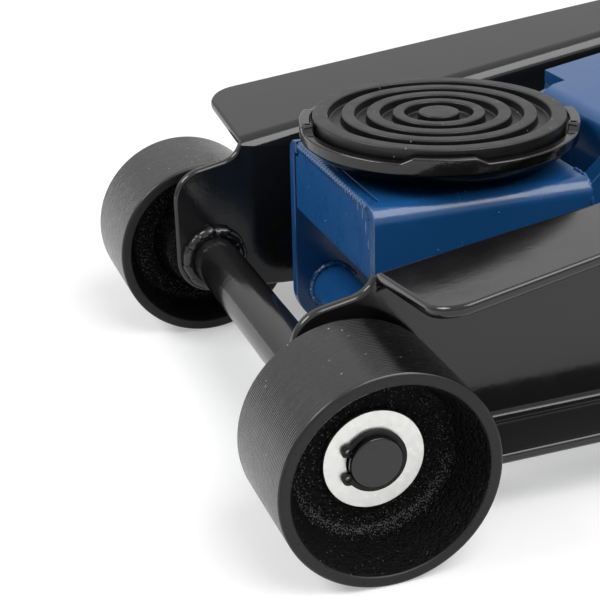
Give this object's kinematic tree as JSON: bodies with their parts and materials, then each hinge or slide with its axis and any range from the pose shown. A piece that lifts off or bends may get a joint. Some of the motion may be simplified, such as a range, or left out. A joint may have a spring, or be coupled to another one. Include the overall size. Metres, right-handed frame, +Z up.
{
  "type": "car jack",
  "caption": "Wheeled hydraulic garage jack with a round rubber-topped saddle on a parallel-link lift arm, pressed-steel side frame, ram, pump and upright handle.",
  "frame": {"origin": "centre of the jack's outline at floor level, where it stands on its wheels", "axes": "+X towards the handle and rear casters, +Y towards the right-hand side seen from the handle, +Z up"},
  "size_m": [0.9942, 0.3112, 0.9699],
  "materials": {
    "frame_enamel": "gloss black enamel over bent steel plate",
    "wheel_enamel": "satin black painted casting, turned tread",
    "blue_enamel": "gloss blue enamel over welded plate",
    "saddle_enamel": "black painted casting",
    "pad_rubber": "moulded matt black rubber",
    "zinc_plate": "bright zinc plating",
    "dark_steel": "phosphated spring and pin steel",
    "bright_steel": "machined steel",
    "hard_chrome": "ground hard chrome",
    "block_iron": "grey painted iron casting",
    "grip_rubber": "ribbed black rubber",
    "caster_nylon": "moulded black nylon"
  },
  "bodies": {
    "chassis": {"side_plate_left": "frame_enamel", "side_plate_right": "frame_enamel", "front_axle": "frame_enamel", "axle_spacers": "bright_steel", "axle_washers": "zinc_plate", "axle_circlips": "dark_steel", "tie_rod": "frame_enamel", "arm_pivot_shaft": "bright_steel", "arm_pivot_nuts": "zinc_plate", "link_anchor_pins": "bright_steel", "pump_block": "block_iron", "ram_cylinder": "bright_steel", "reservoir_tube": "frame_enamel", "gland_nut": "zinc_plate", "filler_plug": "pad_rubber", "relief_valve": "zinc_plate", "unit_bolts": "zinc_plate", "rear_cover": "frame_enamel", "cover_screws": "zinc_plate", "rear_crossmember": "frame_enamel", "caster_plates": "frame_enamel", "pump_gland": "zinc_plate", "plunger_spring": "bright_steel", "socket_pivot_bolts": "zinc_plate"},
    "lift_arm": {"arm_top_plate": "blue_enamel", "arm_side_plates": "blue_enamel", "arm_forks": "blue_enamel", "arm_pivot_tube": "blue_enamel", "ram_levers": "blue_enamel", "ram_lever_pin": "bright_steel"},
    "saddle_bracket": {"saddle_yoke": "blue_enamel", "yoke_front_plate": "blue_enamel", "link_cross_bar": "blue_enamel", "link_bar_clips": "dark_steel", "arm_front_pin": "bright_steel", "arm_front_clips": "dark_steel"},
    "saddle": {"saddle_cup": "saddle_enamel", "saddle_pad": "pad_rubber", "saddle_nut": "zinc_plate"},
    "link_left": {"link_left": "frame_enamel"},
    "link_right": {"link_right": "frame_enamel"},
    "front_wheel_left": {"front_wheel_left": "wheel_enamel"},
    "front_wheel_right": {"front_wheel_right": "wheel_enamel"},
    "ram": {"ram_rod": "hard_chrome", "ram_piston": "bright_steel", "ram_eye": "bright_steel"},
    "plunger": {"pump_plunger": "hard_chrome"},
    "handle_yoke": {"handle_socket": "frame_enamel"},
    "release_valve": {"release_valve": "bright_steel"},
    "release_coupling": {"release_coupling": "bright_steel"},
    "handle": {"handle_lower": "frame_enamel", "handle_upper": "frame_enamel", "handle_grip": "grip_rubber", "handle_cross_pin": "zinc_plate"},
    "caster_left": {"caster_fork_left": "zinc_plate", "caster_bolt_left": "zinc_plate"},
    "caster_wheel_left": {"caster_wheel_left": "caster_nylon"},
    "caster_right": {"caster_fork_right": "zinc_plate", "caster_bolt_right": "zinc_plate"},
    "caster_wheel_right": {"caster_wheel_right": "caster_nylon"}
  },
  "joints": [
    {"name": "arm_lift", "type": "hinge", "parent": "chassis", "child": "lift_arm", "pos_m": [0.00287, 0, 0.125], "axis": [0, 1, 0], "range_deg": [0, 60]},
    {"name": "yoke_level", "type": "hinge", "parent": "lift_arm", "child": "saddle_bracket", "pos_m": [-0.35713, 0, 0.078], "axis": [0, 1, 0], "range_deg": [-60, 0]},
    {"name": "saddle_turn", "type": "hinge", "parent": "saddle_bracket", "child": "saddle", "pos_m": [-0.36813, 0, 0.115], "axis": [0, 0, 1], "continuous": true},
    {"name": "link_left_swing", "type": "hinge", "parent": "chassis", "child": "link_left", "pos_m": [-0.04213, 0, 0.084], "axis": [0, 1, 0], "range_deg": [0, 60]},
    {"name": "link_right_swing", "type": "hinge", "parent": "chassis", "child": "link_right", "pos_m": [-0.04213, 0, 0.084], "axis": [0, 1, 0], "range_deg": [0, 60]},
    {"name": "ram_slide", "type": "slide", "parent": "chassis", "child": "ram", "axis": [-1, 0, 0], "range_m": [0, 0.055]},
    {"name": "handle_pump", "type": "hinge", "parent": "chassis", "child": "handle_yoke", "pos_m": [0.17587, 0, 0.132], "axis": [0, -1, 0], "range_deg": [-50, 0], "stiffness_Nm_per_rad": 22, "springref_deg": 28.65},
    {"name": "plunger_slide", "type": "slide", "parent": "chassis", "child": "plunger", "axis": [0, 0, -1], "range_m": [0, 0.02715], "deforming": ["plunger_spring"]},
    {"name": "handle_twist", "type": "hinge", "parent": "handle_yoke", "child": "release_coupling", "pos_m": [0.17587, 0, 0.132], "axis": [0.342, 0, 0.9397], "range_deg": [0, 90]},
    {"name": "valve_turn", "type": "hinge", "parent": "chassis", "child": "release_valve", "pos_m": [0.17587, 0, 0.132], "axis": [0.342, 0, 0.9397], "range_deg": [0, 90]},
    {"name": "handle_pull", "type": "slide", "parent": "release_coupling", "child": "handle", "axis": [0.342, 0, 0.9397], "range_m": [0, 0.12]},
    {"name": "front_wheel_left_roll", "type": "hinge", "parent": "chassis", "child": "front_wheel_left", "pos_m": [-0.45213, 0, 0.045], "axis": [0, 1, 0], "continuous": true},
    {"name": "caster_left_swivel", "type": "hinge", "parent": "chassis", "child": "caster_left", "pos_m": [0.18787, -0.122, 0.084], "axis": [0, 0, 1], "continuous": true},
    {"name": "caster_left_roll", "type": "hinge", "parent": "caster_left", "child": "caster_wheel_left", "pos_m": [0.20987, -0.122, 0.026], "axis": [0, 1, 0], "continuous": true},
    {"name": "front_wheel_right_roll", "type": "hinge", "parent": "chassis", "child": "front_wheel_right", "pos_m": [-0.45213, 0, 0.045], "axis": [0, 1, 0], "continuous": true},
    {"name": "caster_right_swivel", "type": "hinge", "parent": "chassis", "child": "caster_right", "pos_m": [0.18787, 0.122, 0.084], "axis": [0, 0, 1], "continuous": true},
    {"name": "caster_right_roll", "type": "hinge", "parent": "caster_right", "child": "caster_wheel_right", "pos_m": [0.20987, 0.122, 0.026], "axis": [0, 1, 0], "continuous": true}
  ],
  "couplings": [
    {"joint": "yoke_level", "follows": "arm_lift", "ratio": -1},
    {"joint": "link_left_swing", "follows": "arm_lift", "ratio": 1},
    {"joint": "link_right_swing", "follows": "arm_lift", "ratio": 1},
    {"joint": "ram_slide", "follows": "arm_lift", "m_per_rad": 0.05252},
    {"joint": "plunger_slide", "follows": "handle_pump", "m_per_rad": -0.030993},
    {"joint": "valve_turn", "follows": "handle_twist", "ratio": 1}
  ]
}
